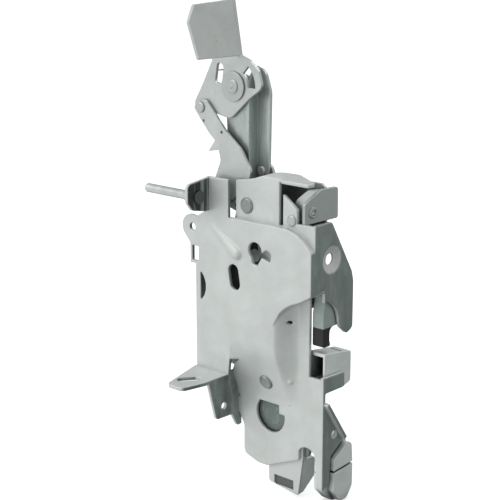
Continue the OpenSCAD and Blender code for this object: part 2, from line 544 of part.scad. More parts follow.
// Remote lever behind the panel, and the flag on its end
flag_x = -sheet;
flag_z = 25.6;
module remote_lever() color(zinc) place() difference() {
    front_plate(lever_y - 0.6, lever_t) polygon(rounded(concat(arc(remote_c, 5.5, 150, 290, 6),
        [[-8, 23, 4], [-4, 30, 4], [flag_x, 36], [flag_x, 43.6], [-9, 42.5, 4], [-17, 36, 6]])));
    bar_y(remote_c, pivot_r - 0.8 + fit, lever_y - 2, lever_y + lever_t + 1);
}
module pull_flag() color(dark) place() difference() {
    union() {
        side_plate(flag_x, sheet) polygon(rounded(
            [[-5.6, flag_z + 0.4, 1], [23.3, flag_z, 1.5], [23, 43.4, 2], [8.7, 43.8, 3], [-5.6, 37.6, 1.5]]));
        bar_x([1.1, 32], 3, 0, 1);
    }
    bar_x([1.1, 32], flag_hole_r, -6, 6);
}
module remote_pivot() color(bright) place() {
    bar_y(remote_c, pivot_r - 0.8, panel_set, lever_y + lever_t);
    head_y(remote_c, 3.2, 1.1, panel_set);
    bar_y(remote_c, 3.4, lever_y - 0.6 + lever_t + 0.3, lever_y + lever_t + 1);
}

// Fork: a claw that turns about a pin along X; its slot faces the striker when the latch is open
slot_top = striker_z + striker_r + 0.4;
function fork_outline() = rounded(concat(
    arc(fork_c, 8.5, 30, 200, 10),
    [[14.6, -30, 3], [14.6, -49.8, 1.5], [21.6, -49.8, 1], [20.4, -46.5, 1], [20.4, slot_top, 4.6],
     [36, slot_top, 2.5], [36.6, -26, 4]]));
bumper_top = -38.6;
// The core of the claw, inside its bumper
module fork_core() translate([fork_x + 2, 15.9, -48.4]) cube([fork_t - 4, 2.4, bumper_top + 48.4]);
module fork() color(bright) place() {
    difference() {
        side_plate(fork_x, fork_t) polygon(fork_outline());
        bar_x(fork_c, fork_pin_r + fit, fork_x - 1, 0);
        translate([fork_x - 1, 10, -60]) cube([fork_t + 2, 12.4, bumper_top + 60]);
    }
    translate([0, 0, e]) fork_core();
}
module fork_bumper() color(black) place() difference() {
    intersection() {
        side_plate(fork_x, fork_t) polygon(fork_outline());
        translate([fork_x - 1, 10, -60]) cube([fork_t + 2, 12.4, bumper_top + 60]);
    }
    fork_core();
}
module ratchet_cam() color(dull) place() difference() {
    side_plate(cam_x, cam_t) polygon(concat(arc(fork_c, cam_r, 144, 62, 10), arc(fork_c, 8.4, 62, -216, 20)));
    bar_x(fork_c, fork_pin_r + fit, cam_x - 1, fork_x + 1);
}
module fork_pin() color(bright) place() {
    bar_x(fork_c, fork_pin_r, bearing_x - 5.6, -sheet);
    bar_x(fork_c, fork_pin_r + 1.6, bearing_x - 6.6, bearing_x - 5.6);
    bar_x(fork_c, fork_pin_r + 1.4, bearing_x + sheet, cam_x - 0.2);
}
module fork_spring() color(bright) place()
    torsion_x(fork_c, bearing_x - 0.7, 4.9, 0.45, 3, [5.6, 8.9], [-8.6, -4], -8, -5);
module pawl() color(dull) place() difference() {
    union() {
        side_plate(cam_x, cam_t) polygon(concat(arc(pawl_c, 3.6, 95, 270, 8),
            [[10, -10], [13.6, -10.2]],
            [for (a = [138:-8:106]) fork_c + (cam_r + 0.35) * [cos(a), sin(a)]], [[20.5, -3.7], [8, -3.5]]));
        translate([cam_x - 26, 14, -6.4]) cube([26 + e, 4.2, 2.2]);
    }
    bar_x(pawl_c, pawl_pin_r + fit, cam_x - 1, fork_x + 1);
}
module pawl_pin() color(bright) place() {
    bar_x(pawl_c, pawl_pin_r, bearing_x - 5.2, -sheet);
    bar_x(pawl_c, pawl_pin_r + 1.6, cam_x + cam_t + 0.3, -sheet);
    bar_x(pawl_c, pawl_pin_r + 1, bearing_x - 6, bearing_x - 5.2);
}
module pawl_spring() color(bright) place()
    torsion_x(pawl_c, bearing_x - 0.6, 2.7, 0.3, 3, [8.2, 4.8], [-1, -6.6], -0.4, 0.4);
module pivot_bracket() color(zinc) place() difference() {
    union() {
        side_plate(bearing_x, sheet) polygon(rounded(
            [[sheet, 4.5], [11, 4.5, 2], [11, -9.8, 1], [27, -9.8, 4], [34, -16, 4], [34, -25, 4], [27, -30, 3],
             [17, -30, 2], [15.6, floor_top + 1.4, 1], [sheet, floor_top + 1.4]]));
        front_plate(sheet, sheet) polygon(rounded([[bearing_x + e, 4.5], [bearing_x - 9, 4.5, 2],
            [bearing_x - 9, floor_top + 1.4, 2], [bearing_x + e, floor_top + 1.4]]));
    }
    bar_x(fork_c, fork_pin_r, bearing_x - 1, bearing_x + sheet + 1);
    bar_x(pawl_c, pawl_pin_r, bearing_x - 1, bearing_x + sheet + 1);
}

// Striker block: a hollow casting under the mouth, open towards the front, held behind the end plate's tab
block_x = -13.6;
module striker_block() color(bright) place() difference() {
    translate([block_x, 0, 0]) side_plate(0, -block_x - sheet) polygon(rounded(
        [[16, -53.6, 1], [40.4, -57.2, 1.5], [40.4, -75.8, 2], [33, -78, 1.5], [16, -78, 1]]));
    translate([block_x + 1.4, 15, -71]) cube([-block_x - sheet - 2.8, 19, 15]);
}

module lock_lever() color(dull) place() difference() {
    front_plate(blocker_y, lever_t) polygon(rounded(concat(arc(disc_c, 12.5, 165, 375, 14),
        arc(lock_c, 6.5, -30, 60, 6), arc(lock_c + lock_arm, 5, 50, 200, 8))));
    bar_y(lock_c, pivot_r + fit, blocker_y - 1, blocker_y + lever_t + 1);
    bar_y(lock_c + lock_arm, link_pin_r, blocker_y - 1, blocker_y + lever_t + 1);
}
disc_c = lock_c + [-2.6, -22.4];
// The pivot's head lies on the sloping wall
lock_y = blend_y(lock_c.y);
module lock_pivot() color(dull) place() {
    bar_y(lock_c, pivot_r, lock_y, back_set);
    translate([lock_c.x, lock_y, lock_c.y]) rotate([atan(blend_slope), 0, 0]) head_y([0, 0], 4.6, 1.5, 0);
    bar_y(lock_c, 4.4, lock_y + 4.4 * blend_slope + sheet * 1.1, blocker_y - 0.3);
    bar_y(lock_c, 4.4, blocker_y + lever_t + 0.3, back_set);
    bar_y(lock_c, 2, back_set - e, back_set + sheet + 0.8);
}
module lock_link() color(zinc) place() difference() {
    front_plate(lock_link_y, lever_t) polygon(concat(
        arc(lock_c + lock_arm, 4.2, -170, 10, 8), arc(blocker_c + lock_arm, 4.2, 10, 190, 8)));
    for (c = [lock_c, blocker_c]) bar_y(c + lock_arm, link_pin_r + fit, lock_link_y - 1, lock_link_y + lever_t + 1);
}
module lock_link_pins() color(bright) place() {
    bar_y(lock_c + lock_arm, link_pin_r, lock_link_y - 0.8, blocker_y + lever_t);
    bar_y(lock_c + lock_arm, link_pin_r + 1.2, lock_link_y - 1.4, lock_link_y - 0.3);
}
module blocker_pin() {
    bar_y(blocker_c + lock_arm, link_pin_r, lock_link_y - 0.8, blocker_y + e);
    bar_y(blocker_c + lock_arm, link_pin_r + 1.2, lock_link_y - 1.4, lock_link_y - 0.3);
}
module lock_blocker() color(dull) place() {
    difference() {
        front_plate(blocker_y, lever_t) polygon(rounded(concat(arc(blocker_c, 6, 190, 240, 4),
            [[-52, -16, 4], [-45, -22, 4], [-28.5, -22.5, 2], [-28.5, -14.8, 1], [-33.6, -14.8, 1], [-34.6, -17.8, 1],
             [-43.5, -17.2, 3], [-48.4, -8, 3]],
            arc(blocker_c, 6, 0, 50, 4), arc(blocker_c + lock_arm, 5, 60, 230, 8))));
        bar_y(blocker_c, pivot_r + fit, blocker_y - 1, blocker_y + lever_t + 1);
    }
    blocker_pin();
}
module blocker_pivot() color(dull) place() {
    bar_y(blocker_c, pivot_r, blocker_y - 0.4, back_set);
    bar_y(blocker_c, 3.9, blocker_y - 1.2, blocker_y - 0.3);
    bar_y(blocker_c, 4.4, blocker_y + lever_t + 0.3, back_set);
    bar_y(blocker_c, 2, back_set - e, back_set + sheet + 0.8);
}
module lock_spring() color(bright) place()
    torsion_y(lock_c, blocker_y + lever_t + 0.7, 5.3, 0.35, 0, [5.5, 4.3], [-9, -4], -2.4, 1.2);

// The foot has a stamped recess, and a flange that is folded back along its leaning right edge
foot_lean = 8;
foot_top = [-16.4, -122];
module lower_foot() color(zinc) place() difference() {
    union() {
        front_plate(floor_set + sheet, sheet) polygon(rounded(
            [[-43, -118, 3], [-42.6, -143, 2], [-20, -146, 0.6], [-16.4, -122], [-16.6, -113, 1.5], [-43, -113, 3]]));
        translate([foot_top.x, 0, foot_top.y]) rotate([0, foot_lean, 0]) side_plate(-sheet, sheet) polygon(rounded(
            [[floor_set + sheet + 0.1, -1], [26, -1, 3], [28.6, -14.5, 2], [19, -23.4, 2], [floor_set + sheet + 0.1, -23.4]]));
    }
    translate([-38.4, floor_set + sheet - 1, -143.6]) cube([15, 2, 6]);
    for (x = foot_rivet_xs) bar_y([x, -117], 1.8, floor_set, floor_set + 3 * sheet);
}
foot_rivet_xs = [-37, -27];
module foot_rivets() color(bright) place() for (x = foot_rivet_xs) {
    bar_y([x, -117], 1.8, floor_set + sheet, floor_set + 2 * sheet);
    bar_y([x, -117], 3, floor_set + 2 * sheet, floor_set + 2 * sheet + 1);
}
guide_x = -8;
module guide_block() color(bright) place() difference() {
    union() {
        side_plate(guide_x, -guide_x - sheet) polygon(rounded(
            [[16, -111, 3], [24, -106.5, 5], [33, -106, 3], [37, -112, 5], [38, -124.6], [15, -126.2]]));
        side_plate(-sheet - e, sheet + 2.4) polygon(rounded(
            [[20.6, -118.8, 3], [33.4, -110.8, 4], [37, -113, 3], [38, -124.6], [20.6, -125.9]]));
    }
    bar_x([23, -112], 2, guide_x - 1, 4);
}
module guide_shoe() color(bright) place() {
    side_plate(guide_x, -guide_x - sheet) polygon(rounded(
        [[15, -127.6], [38, -126], [38, -140, 5], [33, -147, 5], [24, -147, 6], [15, -137.6, 4]]));
    side_plate(-sheet - e, sheet + 2.4) polygon(rounded(
        [[20.4, -127.2], [38, -126], [38, -140, 5], [33, -146.6, 4], [26, -146.6, 4], [20.4, -139, 4]]));
    bar_x([30, -126.2], 2.2, guide_x - 1.6, guide_x);
}
module notch_rivet() color(dull) place() {
    bar_y([-17.6, -117.6], 4, floor_set + 2 * sheet, floor_set + 2 * sheet + 3);
}

frame();
back_plate();
spacer_posts();
back_rivets();
stud();
upper_bracket();
bracket_rivets();
crank_pivot();
pivot_washer();
bell_crank();
crank_link();
upper_link_pin();
lower_link_pin();
crank_spring();
lift_lever();
lever_pivot();
lever_spring();
remote_lever();
pull_flag();
remote_pivot();
fork();
fork_bumper();
ratchet_cam();
fork_pin();
fork_spring();
pawl();
pawl_pin();
pawl_spring();
pivot_bracket();
striker_block();
lock_lever();
lock_pivot();
lock_link();
lock_link_pins();
lock_blocker();
blocker_pivot();
lock_spring();
lower_foot();
foot_rivets();
guide_block();
guide_shoe();
notch_rivet();
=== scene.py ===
"""Door latch: looks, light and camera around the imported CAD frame. Metres, in the part's own frame."""

import json
import math

import bmesh
import bpy
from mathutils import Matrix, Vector

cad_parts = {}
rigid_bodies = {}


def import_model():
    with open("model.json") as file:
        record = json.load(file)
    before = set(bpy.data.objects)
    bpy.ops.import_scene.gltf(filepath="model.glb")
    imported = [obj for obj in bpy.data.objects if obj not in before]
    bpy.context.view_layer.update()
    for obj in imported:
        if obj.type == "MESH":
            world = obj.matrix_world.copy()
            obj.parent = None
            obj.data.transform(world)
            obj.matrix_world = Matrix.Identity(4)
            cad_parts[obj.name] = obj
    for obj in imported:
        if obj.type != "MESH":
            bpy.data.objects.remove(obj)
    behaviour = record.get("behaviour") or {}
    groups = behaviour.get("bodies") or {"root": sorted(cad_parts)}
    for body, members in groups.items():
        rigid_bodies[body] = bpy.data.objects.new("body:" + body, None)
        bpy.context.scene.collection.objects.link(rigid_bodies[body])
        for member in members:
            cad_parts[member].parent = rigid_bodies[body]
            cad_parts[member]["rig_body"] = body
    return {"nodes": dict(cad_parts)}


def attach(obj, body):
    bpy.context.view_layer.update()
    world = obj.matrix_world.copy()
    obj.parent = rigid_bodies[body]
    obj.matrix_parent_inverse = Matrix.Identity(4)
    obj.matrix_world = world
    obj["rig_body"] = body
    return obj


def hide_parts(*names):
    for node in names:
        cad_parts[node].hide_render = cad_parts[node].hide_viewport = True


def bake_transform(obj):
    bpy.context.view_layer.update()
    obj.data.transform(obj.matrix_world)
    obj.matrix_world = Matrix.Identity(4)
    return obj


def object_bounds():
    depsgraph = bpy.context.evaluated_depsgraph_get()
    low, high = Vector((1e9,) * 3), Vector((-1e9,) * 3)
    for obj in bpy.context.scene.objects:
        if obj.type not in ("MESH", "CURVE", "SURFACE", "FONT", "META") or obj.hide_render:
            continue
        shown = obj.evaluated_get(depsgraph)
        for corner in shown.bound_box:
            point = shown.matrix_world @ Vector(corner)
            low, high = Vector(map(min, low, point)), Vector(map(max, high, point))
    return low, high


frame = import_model()
cad_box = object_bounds()
NODES = frame["nodes"]
MM = 0.001
X, Y, Z = 0, 1, 2


# Materials

# Noise patterns. scale counts cells in a metre, and a stretch under 1 draws them out along that axis.
# rise gives the two levels of the noise between which the pattern goes from 0 to 1.
CLOUDS = dict(scale=55, detail=5, rough=0.6, distort=0.4)
GRAIN = dict(scale=900, detail=2, rough=0.6)
DENTS = dict(scale=210, detail=4, rough=0.6)
STAINS = dict(scale=28, detail=6, rough=0.65, distort=1.2, rise=(0.52, 0.72))
SPECKS = dict(scale=420, detail=3, rough=0.7, rise=(0.62, 0.74))
SCRATCHES = dict(scale=240, detail=6, rough=0.7, distort=0.6, stretch=(1, 1, 0.6), rise=(0.52, 0.66))
ROLL_LINES = dict(scale=110, detail=5, rough=0.7, distort=0.3, stretch=(1, 1, 0.12), rise=(0.40, 0.62))
STREAKS = dict(scale=130, detail=6, rough=0.75, distort=0.3, stretch=(1, 1, 0.22), rise=(0.40, 0.62))
BANDS = dict(scale=230, detail=3, rough=0.6, distort=0.2, stretch=(1, 1, 0.05), rise=(0.44, 0.60))
MOTTLES = dict(scale=60, detail=4, rough=0.6, stretch=(1, 1, 0.5), rise=(0.40, 0.60))
RINGS = dict(scale=2600, detail=2, rough=0.5, stretch=(1, 0.02, 0.02))
PATCHES = dict(scale=120, detail=4, rough=0.6)
PLASTIC_SHADES = dict(scale=90, detail=4)
PLASTIC_GLOSS = dict(scale=300, detail=3)
PLASTIC_GRAIN = dict(scale=1500, detail=2)
FLOOR_SHADES = dict(scale=3, detail=2)

# The levels between which most of a noise lies
SWING = (0.3, 0.7)
# The dot product of the rounded normal and the true one where an edge starts, and where it is full
EDGE_LEAN = (0.985, 0.80)
# The share of open surroundings where painted shade starts, and where it is full
CREVICE_SHADE_LEVELS = (0.75, 0.2)
# The X part of the normal where a face starts to count as looking along +X, and where it does in full
END_LEAN = (0.55, 0.85)
# Places on X: just below the end plate's outer face, and between the case's middle and the flanges on
# its far left. Faces past the second count as theirs.
END_FACE = (0.0022, 0.0027)
LEFT_FLANGES = (-0.052, -0.056)
# The height between the hanging tab and the stud's flange
STUD_LEVEL = (0.0, 0.005)
# The tint of zinc's reflections, and the greener grey painted as shade on the case's faces that look along
# +X
ZINC_TINT = (0.96, 0.99, 0.98)
SHADE = (0.66, 0.78, 0.75)
# The darkest and brightest tones of that painted shade on the end plate, the stud's flange and the hanging
# tab.
# On the flange the bright bands are painted reflections.
PLATE_TONES = (0.38, 0.513)
FLANGE_TONES = (0.055, 0.418)
TAB_TONES = (0.198, 0.484)


def toned(colour, tone=1.0):
    """A colour made darker or brighter, with full alpha."""
    return tuple(channel * tone for channel in colour) + (1,)


class Look:
    """A node material, with short names for what it is built from."""

    def __init__(self, name, metal=0.0):
        self.mat = bpy.data.materials.new(name)
        self.mat.use_nodes = True
        self.tree = self.mat.node_tree
        self.tree.nodes.clear()
        self.surface = self.add("BsdfPrincipled")
        self.set("Metallic", metal)
        self.link(self.surface.outputs[0], self.add("OutputMaterial").inputs[0])
        self.place = self.add("TexCoord").outputs["Object"]
        self.facing = self.add("NewGeometry").outputs["Normal"]

    def add(self, kind):
        return self.tree.nodes.new("ShaderNode" + kind)

    def link(self, output, socket):
        self.tree.links.new(output, socket)

    def put(self, value, socket):
        """Links a node's output, or sets a plain value."""
        if isinstance(value, bpy.types.NodeSocket):
            self.link(value, socket)
        else:
            socket.default_value = value

    def set(self, name, value):
        """One input of the surface itself."""
        self.put(value, self.surface.inputs[name])

    def noise(self, scale, detail, rough=0.55, distort=0.0, stretch=None, rise=None):
        """A noise pattern, as it is described above the patterns."""
        place = self.place
        if stretch:
            mapping = self.add("Mapping")
            mapping.inputs["Scale"].default_value = stretch
            self.link(place, mapping.inputs["Vector"])
            place = mapping.outputs[0]
        node = self.add("TexNoise")
        node.inputs["Scale"].default_value = scale
        node.inputs["Detail"].default_value = detail
        node.inputs["Roughness"].default_value = rough
        node.inputs["Distortion"].default_value = distort
        self.link(place, node.inputs["Vector"])
        return self.rise(node.outputs[0], *rise) if rise else node.outputs[0]

    def rise(self, value, low, high):
        """0 below low and 1 above high."""
        node = self.add("ValToRGB")
        for stop, level in zip(node.color_ramp.elements, (low, high)):
            stop.position = level
        self.link(value, node.inputs[0])
        return node.outputs[0]

    def span(self, value, low, high, to_low=0.0, to_high=1.0):
        """Goes from to_low to to_high as the value goes from low to high."""
        node = self.add("MapRange")
        for socket, level in zip((1, 2, 3, 4), (low, high, to_low, to_high)):
            node.inputs[socket].default_value = level
        self.link(value, node.inputs[0])
        return node.outputs[0]

    def math(self, operation, first, second):
        node = self.add("Math")
        node.operation = operation
        self.put(first, node.inputs[0])
        self.put(second, node.inputs[1])
        return node.outputs[0]

    def mix(self, mask, first, second):
        """The first colour where the mask is 0, and the second where it is 1."""
        node = self.add("Mix")
        node.data_type = "RGBA"
        for socket, value in zip((0, 6, 7), (mask, first, second)):
            self.put(value, node.inputs[socket])
        return node.outputs[2]

    def tones(self, mask, colour, dark, bright):
        """A colour that goes from a dark tone to a bright one with the mask."""
        return self.mix(mask, toned(colour, dark), toned(colour, bright))

    def lay(self, base, mask, share, colour):
        """A colour over the base, as strong as the mask times a share."""
        return self.mix(self.math("MULTIPLY", mask, share), base, colour)

    def rounded_normal(self, radius):
        """The normal with every edge rounded off, as a folded or sheared edge has it."""
        node = self.add("Bevel")
        node.samples = 4
        node.inputs["Radius"].default_value = radius
        return node.outputs[0]

    def edges(self, rounded):
        """1 along edges, 0 elsewhere, from how far the rounded normal leans from the true one."""
        node = self.add("VectorMath")
        node.operation = "DOT_PRODUCT"
        self.link(rounded, node.inputs[0])
        self.link(self.facing, node.inputs[1])
        return self.span(node.outputs["Value"], *EDGE_LEAN)

    def crevices(self, reach):
        """1 deep in a corner or a hole, 0 on open faces, from ambient occlusion. It masks painted shade."""
        node = self.add("AmbientOcclusion")
        node.samples = 6
        node.inputs["Distance"].default_value = reach
        return self.span(node.outputs["AO"], *CREVICE_SHADE_LEVELS)

    def along(self, vector, axis, start, full):
        """0 where a vector's part along an axis is at start, and 1 where it is at full."""
        node = self.add("SeparateXYZ")
        self.link(vector, node.inputs[0])
        return self.span(node.outputs[axis], start, full)

    def beyond(self, axis, start, full):
        """0 at the place start on an axis of the part's frame, and 1 at the place full."""
        return self.along(self.place, axis, start, full)

    def facing_end(self):
        """1 on the faces that look along +X, 0 elsewhere."""
        return self.along(self.facing, X, *END_LEAN)

    def bumps(self, *layers, under):
        """Layers of height, strength and depth, each over the one before it, on a normal under them."""
        normal = under
        for height, strength, depth in layers:
            node = self.add("Bump")
            node.inputs["Strength"].default_value = strength
            node.inputs["Distance"].default_value = depth
            self.link(height, node.inputs["Height"])
            self.link(normal, node.inputs["Normal"])
            normal = node.outputs[0]
        self.set("Normal", normal)


def shaded_end_faces(look, base, edges, worn_and_highlit):
    """Painted shade on the case's outer faces that look along +X, as metal mirroring dark surroundings would
    look: a streaked end plate, a flange with bands of painted reflection, a mottled tab. Their edges are
    lightened, partly as worn metal, partly as a painted highlight.
    """
    plate = look.tones(look.noise(**STREAKS), SHADE, *PLATE_TONES)
    flange = look.tones(look.noise(**BANDS), SHADE, *FLANGE_TONES)
    tab = look.tones(look.noise(**MOTTLES), SHADE, *TAB_TONES)
    left = look.beyond(X, *LEFT_FLANGES)
    stains_and_shade = look.mix(left, plate, look.mix(look.beyond(Z, *STUD_LEVEL), tab, flange))
    # The edges lightened again: partly worn metal, partly a painted highlight
    stains_and_shade = look.lay(stains_and_shade, edges, 0.5, toned(worn_and_highlit))
    outer = look.math("MAXIMUM", look.beyond(X, *END_FACE), left)
    return look.mix(look.math("MULTIPLY", look.facing_end(), outer), base, stains_and_shade)


def shaded_recess_floor(look, base, floor, colour):
    """Painted shade: the floor of a stamped recess painted dark. floor is its place on Y."""
    after = look.beyond(Y, floor - 0.2 * MM, floor - 0.1 * MM)
    before = look.beyond(Y, floor + 0.2 * MM, floor + 0.1 * MM)
    return look.mix(look.math("MULTIPLY", after, before), base, toned(colour, 0.2))


def plated(name, colour, rough, metal=0.7, spread=0.08, bump=0.25, stains_and_shade=0.5, grain=None, fold=0.0007,
           edge_highlight_and_wear=0.8, crevice=(0.006, 0.35), scratch=0.0, streak=0.0, ends=False, recess=None):
    """Zinc-plated steel: cloudy plating, fine grain, handling marks, edges lightened partly as worn metal
    and partly as a painted highlight, and painted shade in crevices.

    spread is how uneven the gloss is, bump how uneven the surface, and stains_and_shade how stained and
    specked. grain stretches the fine grain, fold is the radius of the edges and edge_highlight_and_wear how
    bright they are painted. crevice gives how far the painted shade in corners and holes reaches and its
    tone. scratch and streak are how strong the bright scratches and the dark roll lines are. ends is for the
    case, whose outer faces that look along +X get painted shade, and recess is the place on Y of a stamped
    recess's floor, which is painted dark as shade."""
    look = Look(name, metal)
    look.set("Specular Tint", toned(ZINC_TINT))
    rounded = look.rounded_normal(fold)
    edges = look.edges(rounded)
    clouds = look.noise(**CLOUDS)
    fine = look.noise(**GRAIN, stretch=grain)
    stains = look.noise(**STAINS)

    base = look.tones(look.rise(clouds, *SWING), colour, 0.9, 1.05)
    base = look.lay(base, stains, 0.35 * stains_and_shade, toned(colour, 0.72))
    base = look.lay(base, look.noise(**SPECKS), 0.3 * stains_and_shade, toned(colour, 0.6))
    if scratch:
        base = look.lay(base, look.noise(**SCRATCHES), scratch, toned(colour, 1.8))
    # Edges lightened: partly worn bare metal, partly a painted highlight
    base = look.lay(base, edges, edge_highlight_and_wear, toned(colour, 1.25))
    # Painted shade: corners and holes darkened by ambient occlusion, as far as the crevice setting reaches
    shade_reach, shade_tone = crevice
    base = look.mix(look.crevices(shade_reach), base, toned(colour, shade_tone))
    if streak:
        base = look.lay(base, look.noise(**ROLL_LINES), streak, toned(colour, 0.45))
    # Painted shade on the case's outer faces that look along +X
    if ends:
        base = shaded_end_faces(look, base, edges, colour)
    # Painted shade on the floor of a stamped recess
    if recess is not None:
        base = shaded_recess_floor(look, base, recess, colour)
    look.set("Base Color", base)

    cloudy = look.span(clouds, *SWING, rough - spread, rough + spread)
    gloss = look.math("ADD", cloudy, look.span(fine, *SWING, -0.04, 0.04))
    gloss = look.math("ADD", gloss, look.math("MULTIPLY", stains, 0.08))
    gloss = look.math("SUBTRACT", gloss, look.math("MULTIPLY", edges, 0.08))
    look.set("Roughness", gloss)
    look.bumps((fine, bump * 0.25, 0.04 * MM), (clouds, bump, 0.4 * MM),
               (look.noise(**DENTS), bump * 0.5, 0.08 * MM), under=rounded)
    return look.mat


def turned(name, colour, rough, head=None):
    """Turned steel with fine rings round the X axis. head is where on X a dark riveted head starts."""
    look = Look(name, metal=0.9)
    rounded = look.rounded_normal(0.4 * MM)
    rings = look.noise(**RINGS)
    patches = look.noise(**PATCHES)
    base = look.tones(look.rise(patches, *SWING), colour, 0.88, 1.05)
    # Edges lightened: partly worn metal, partly a painted highlight
    base = look.lay(base, look.edges(rounded), 0.5, toned(colour, 1.15))
    # Painted shade in corners and holes
    base = look.mix(look.crevices(4 * MM), base, toned(colour, 0.4))
    if head is not None:
        base = look.mix(look.beyond(X, head, head + 0.5 * MM), base, toned(colour, 0.18))
    look.set("Base Color", base)
    patchy = look.span(patches, *SWING, rough - 0.05, rough + 0.06)
    look.set("Roughness", look.math("ADD", patchy, look.span(rings, *SWING, -0.03, 0.03)))
    look.bumps((rings, 0.15, 0.04 * MM), (patches, 0.15, 0.2 * MM), under=rounded)
    return look.mat


def plastic(name, colour):
    """Moulded plastic with a faint grain."""
    look = Look(name)
    look.set("Base Color", look.tones(look.noise(**PLASTIC_SHADES), colour, 0.7, 1.4))
    look.set("Roughness", look.span(look.noise(**PLASTIC_GLOSS), *SWING, 0.45, 0.6))
    look.bumps((look.noise(**PLASTIC_GRAIN), 0.2, 0.05 * MM), under=look.rounded_normal(0.5 * MM))
    return look.mat


# Each finish's crevice setting paints shade into its corners and holes
CASE = plated("zinc_case", (0.75, 0.78, 0.765), 0.46, metal=0.32, crevice=(0.004, 0.45), fold=0.0016,
              edge_highlight_and_wear=1.0, ends=True)
SHEET = plated("zinc_sheet", (0.68, 0.71, 0.695), 0.38, stains_and_shade=1.1)
BRACKET = plated("bracket_sheet", (0.665, 0.735, 0.71), 0.38, stains_and_shade=1.1, crevice=(0.012, 0.3), streak=0.6)
# The fork's darker colour is painted shade, for a part that lies deep in the latch's mouth
FORK = plated("fork_cast", (0.47, 0.54, 0.52), 0.46, metal=0.4, spread=0.1, bump=0.5, crevice=(0.010, 0.15))
FOOT = plated("stamped_foot", (0.75, 0.78, 0.765), 0.46, metal=0.32, recess=-0.0035)
BACK = plated("back_sheet", (0.60, 0.625, 0.61), 0.42, stains_and_shade=0.9, crevice=(0.028, 0.10))
# Painted shade: the inner parts, seen only through openings, get a dark sheet; the scratches on it are wear
SHADED_INNER = plated("dull_sheet", (0.225, 0.265, 0.25), 0.46, stains_and_shade=0.9, crevice=(0.02, 0.2), scratch=0.5)
FLAG = plated("flag_sheet", (0.51, 0.57, 0.545), 0.38, stains_and_shade=0.8)
CAST = plated("cast_block", (0.87, 0.93, 0.91), 0.46, metal=0.3, spread=0.1, bump=0.5, crevice=(0.014, 0.04))
TURNED = turned("turned_steel", (0.80, 0.82, 0.81), 0.28)
STUD = turned("turned_stud", (0.74, 0.76, 0.75), 0.34, head=-0.0745)
RIVET = plated("rivet_head", (0.62, 0.65, 0.635), 0.38, stains_and_shade=0.7, crevice=(0.003, 0.4), fold=0.0004)
WORN = plated("worn_rivet", (0.36, 0.385, 0.375), 0.38, stains_and_shade=1.3, crevice=(0.003, 0.4), fold=0.0004,
              scratch=0.35)
WIRE = plated("spring_wire", (0.50, 0.52, 0.51), 0.30, metal=0.9, grain=(1, 1, 6), fold=0.0001)
BLACK = plastic("black_plastic", (0.02, 0.02, 0.02))

# Widths of the eased edges: on sheet, rivets and the bumper, and on cast and turned pieces
FINE_EDGE = 0.22 * MM
SOFT_EDGE = 0.3 * MM

# Each finish: its material, its slot, the width of its edges and the pieces that have it
FINISHES = [
    (CASE, "zinc_sheet", FINE_EDGE, ["frame"]),
    (BRACKET, "zinc_sheet", FINE_EDGE, ["upper_bracket"]),
    (SHEET, "zinc_sheet", FINE_EDGE,
     ["bell_crank", "crank_link", "lift_lever", "remote_lever", "pivot_bracket", "lock_link"]),
    (FOOT, "zinc_sheet", FINE_EDGE, ["lower_foot"]),
    (BLACK, "black_plastic", FINE_EDGE, ["fork_bumper"]),
    (BACK, "dull_sheet", FINE_EDGE, ["back_plate"]),
    (SHADED_INNER, "dull_sheet", FINE_EDGE, ["ratchet_cam", "pawl", "lock_lever", "lock_blocker"]),
    (WORN, "dull_sheet", FINE_EDGE, ["lever_pivot", "lock_pivot", "notch_rivet"]),
    (RIVET, "dull_sheet", FINE_EDGE,
     ["blocker_pivot", "crank_pivot", "pivot_washer", "remote_pivot", "upper_link_pin", "lower_link_pin",
      "back_rivets", "bracket_rivets", "foot_rivets", "lock_link_pins"]),
    (FLAG, "flag_steel", FINE_EDGE, ["pull_flag"]),
    (FORK, "cast_zinc", SOFT_EDGE, ["fork"]),
    (CAST, "cast_zinc", SOFT_EDGE, ["striker_block", "guide_block", "guide_shoe"]),
    (TURNED, "turned_steel", SOFT_EDGE, ["spacer_posts", "fork_pin", "pawl_pin"]),
    (STUD, "turned_steel", SOFT_EDGE, ["stud"]),
]

# Each spring's joint, its coil's radius, its moving leg's end and its fixed leg's end, in mm across the
# joint's axis
SPRINGS = {
    "crank_spring": ("release_turn", 6.0, (-11.8, 8.4), (7.1, -9.6)),
    "lever_spring": ("lift_turn", 5.0, (-10.0, -8.2), (4.2, 9.5)),
    "fork_spring": ("fork_turn", 4.9, (5.6, 8.9), (-8.6, -4.0)),
    "pawl_spring": ("pawl_turn", 2.7, (8.2, 4.8), (-1.0, -6.6)),
    "lock_spring": ("lock_turn", 5.3, (5.5, 4.3), (-9.0, -4.0)),
}


# Pieces: each CAD solid again, with its edges eased as sheared or machined metal has them

# The distance within which points of a CAD mesh are one
WELD = 2e-6


def add_object(name, data):
    obj = bpy.data.objects.new(name, data)
    bpy.context.scene.collection.objects.link(obj)
    return obj


def copied(node, suffix, material, simplify):
    """A new piece with a CAD node's own mesh, its points joined and its faces simplified."""
    mesh = bpy.data.meshes.new(node + suffix)
    shape = bmesh.new()
    shape.from_mesh(NODES[node].data)
    bmesh.ops.remove_doubles(shape, verts=shape.verts, dist=WELD)
    simplify(shape)
    shape.to_mesh(mesh)
    shape.free()
    mesh.materials.append(material)
    mesh.shade_smooth()
    return add_object(node + "_dressed", mesh)


def join_flat_faces(shape):
    bmesh.ops.dissolve_limit(shape, angle_limit=math.radians(1.0), verts=shape.verts, edges=shape.edges)


def join_triangles(shape):
    bmesh.ops.join_triangles(shape, faces=shape.faces, angle_face_threshold=math.radians(50),
                             angle_shape_threshold=math.radians(60))


